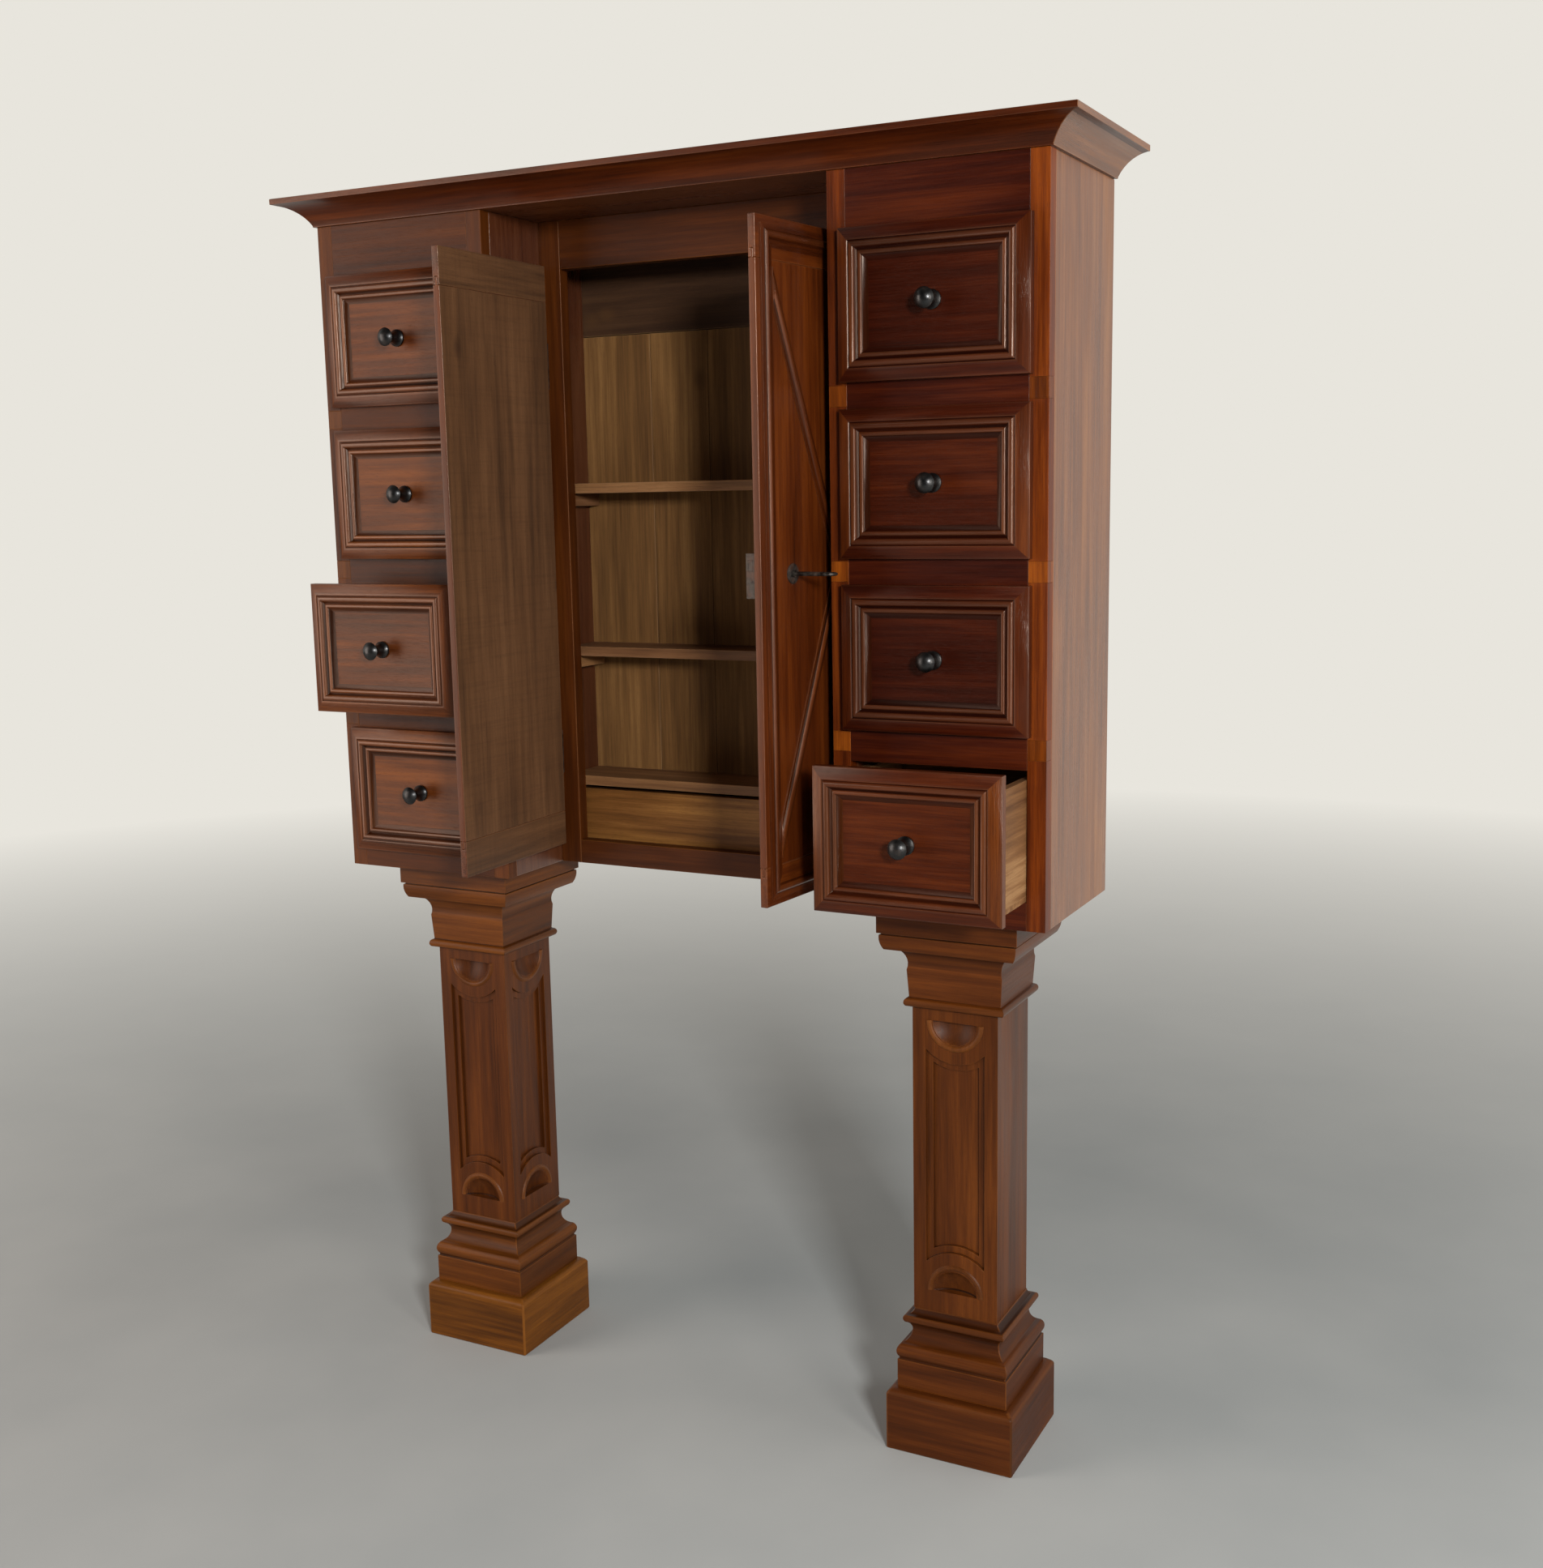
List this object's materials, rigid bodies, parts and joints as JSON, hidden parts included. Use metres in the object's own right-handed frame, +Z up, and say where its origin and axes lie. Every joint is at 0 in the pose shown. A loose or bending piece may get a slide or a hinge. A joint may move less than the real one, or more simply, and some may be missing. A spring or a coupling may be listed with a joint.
{
  "type": "cabinet on stand",
  "caption": "Shallow wooden cabinet on square moulded pillars, with banks of lipped drawers either side of a shelved cupboard behind hinged, lockable doors.",
  "frame": {"origin": "middle, on the floor, of the rectangle that the object covers at rest, with its doors ajar and two drawers partly out", "axes": "+Z up, +X to the right as seen from the front, the front faces -Y"},
  "size_m": [1.3, 0.4324, 1.913],
  "materials": {
    "walnut_dark": "satin polish",
    "walnut_front": "satin polish",
    "walnut_light": "satin polish",
    "walnut_door": "worn satin polish",
    "walnut_pillar": "satin polish",
    "pine_back": "bare, aged",
    "pine_shelf": "bare, aged",
    "pine_apron": "waxed",
    "pine_drawer": "bare, aged",
    "black_knob": "gloss black",
    "iron": "dark, worn"
  },
  "bodies": {
    "case": {"right_bank_sides": "walnut_dark", "left_bank_sides": "walnut_dark", "right_face_frame": "walnut_light", "left_face_frame": "walnut_light", "drawer_runners": "pine_shelf", "case_top": "walnut_dark", "case_bottoms": "pine_shelf", "cupboard_frame": "walnut_light", "cupboard_shelves": "pine_shelf", "shelf_cleats": "pine_shelf", "inner_apron": "pine_apron", "back_boards": "pine_back", "cornice": "walnut_front", "right_hinge_case_leaves": "iron", "left_hinge_case_leaves": "iron", "right_hinge_pins": "iron", "left_hinge_pins": "iron", "right_pillar_plinth": "walnut_pillar", "left_pillar_plinth": "walnut_pillar", "right_pillar_base": "walnut_pillar", "left_pillar_base": "walnut_pillar", "right_pillar_shaft": "walnut_pillar", "left_pillar_shaft": "walnut_pillar", "right_pillar_capital": "walnut_pillar", "left_pillar_capital": "walnut_pillar"},
    "left_door": {"left_door_boards": "walnut_door", "left_door_mouldings": "walnut_dark", "left_hinge_door_leaves": "iron"},
    "right_door": {"right_door_boards": "walnut_door", "right_door_mouldings": "walnut_dark", "right_hinge_door_leaves": "iron", "escutcheon": "iron", "lock_case": "iron"},
    "key": {"key": "iron"},
    "lock_bolt": {"lock_bolt": "iron"},
    "left_drawer_1": {"left_drawer_1_front": "walnut_front", "left_drawer_1_box": "pine_drawer", "left_drawer_1_knob": "black_knob"},
    "left_drawer_2": {"left_drawer_2_front": "walnut_front", "left_drawer_2_box": "pine_drawer", "left_drawer_2_knob": "black_knob"},
    "left_drawer_3": {"left_drawer_3_front": "walnut_front", "left_drawer_3_box": "pine_drawer", "left_drawer_3_knob": "black_knob"},
    "left_drawer_4": {"left_drawer_4_front": "walnut_front", "left_drawer_4_box": "pine_drawer", "left_drawer_4_knob": "black_knob"},
    "right_drawer_1": {"right_drawer_1_front": "walnut_front", "right_drawer_1_box": "pine_drawer", "right_drawer_1_knob": "black_knob"},
    "right_drawer_2": {"right_drawer_2_front": "walnut_front", "right_drawer_2_box": "pine_drawer", "right_drawer_2_knob": "black_knob"},
    "right_drawer_3": {"right_drawer_3_front": "walnut_front", "right_drawer_3_box": "pine_drawer", "right_drawer_3_knob": "black_knob"},
    "right_drawer_4": {"right_drawer_4_front": "walnut_front", "right_drawer_4_box": "pine_drawer", "right_drawer_4_knob": "black_knob"}
  },
  "joints": [
    {"name": "left_drawer_1_slide", "type": "slide", "parent": "case", "child": "left_drawer_1", "axis": [0, -1, 0], "range_m": [0, 0.2]},
    {"name": "left_drawer_2_slide", "type": "slide", "parent": "case", "child": "left_drawer_2", "axis": [0, -1, 0], "range_m": [0, 0.2]},
    {"name": "left_drawer_3_slide", "type": "slide", "parent": "case", "child": "left_drawer_3", "axis": [0, -1, 0], "range_m": [-0.075, 0.125]},
    {"name": "left_drawer_4_slide", "type": "slide", "parent": "case", "child": "left_drawer_4", "axis": [0, -1, 0], "range_m": [0, 0.2]},
    {"name": "right_drawer_1_slide", "type": "slide", "parent": "case", "child": "right_drawer_1", "axis": [0, -1, 0], "range_m": [0, 0.2]},
    {"name": "right_drawer_2_slide", "type": "slide", "parent": "case", "child": "right_drawer_2", "axis": [0, -1, 0], "range_m": [0, 0.2]},
    {"name": "right_drawer_3_slide", "type": "slide", "parent": "case", "child": "right_drawer_3", "axis": [0, -1, 0], "range_m": [0, 0.2]},
    {"name": "right_drawer_4_slide", "type": "slide", "parent": "case", "child": "right_drawer_4", "axis": [0, -1, 0], "range_m": [-0.1, 0.1]},
    {"name": "left_door_hinge", "type": "hinge", "parent": "case", "child": "left_door", "pos_m": [-0.2817, 0.06835, 1.3435], "axis": [0, 0, -1], "range_deg": [-88, 2]},
    {"name": "right_door_hinge", "type": "hinge", "parent": "case", "child": "right_door", "pos_m": [0.2817, 0.06835, 1.3435], "axis": [0, 0, 1], "range_deg": [-84.5, 5.5]},
    {"name": "key_turn", "type": "hinge", "parent": "right_door", "child": "key", "pos_m": [0.25814, -0.13151, 1.33725], "axis": [0.9954, -0.0958, 0], "range_deg": [0, 90]},
    {"name": "bolt_slide", "type": "slide", "parent": "right_door", "child": "lock_bolt", "axis": [-0.0958, -0.9954, 0], "range_m": [0, 0.01]}
  ],
  "couplings": [
    {"joint": "key_turn", "follows": "bolt_slide", "rad_per_m": 157.08}
  ]
}
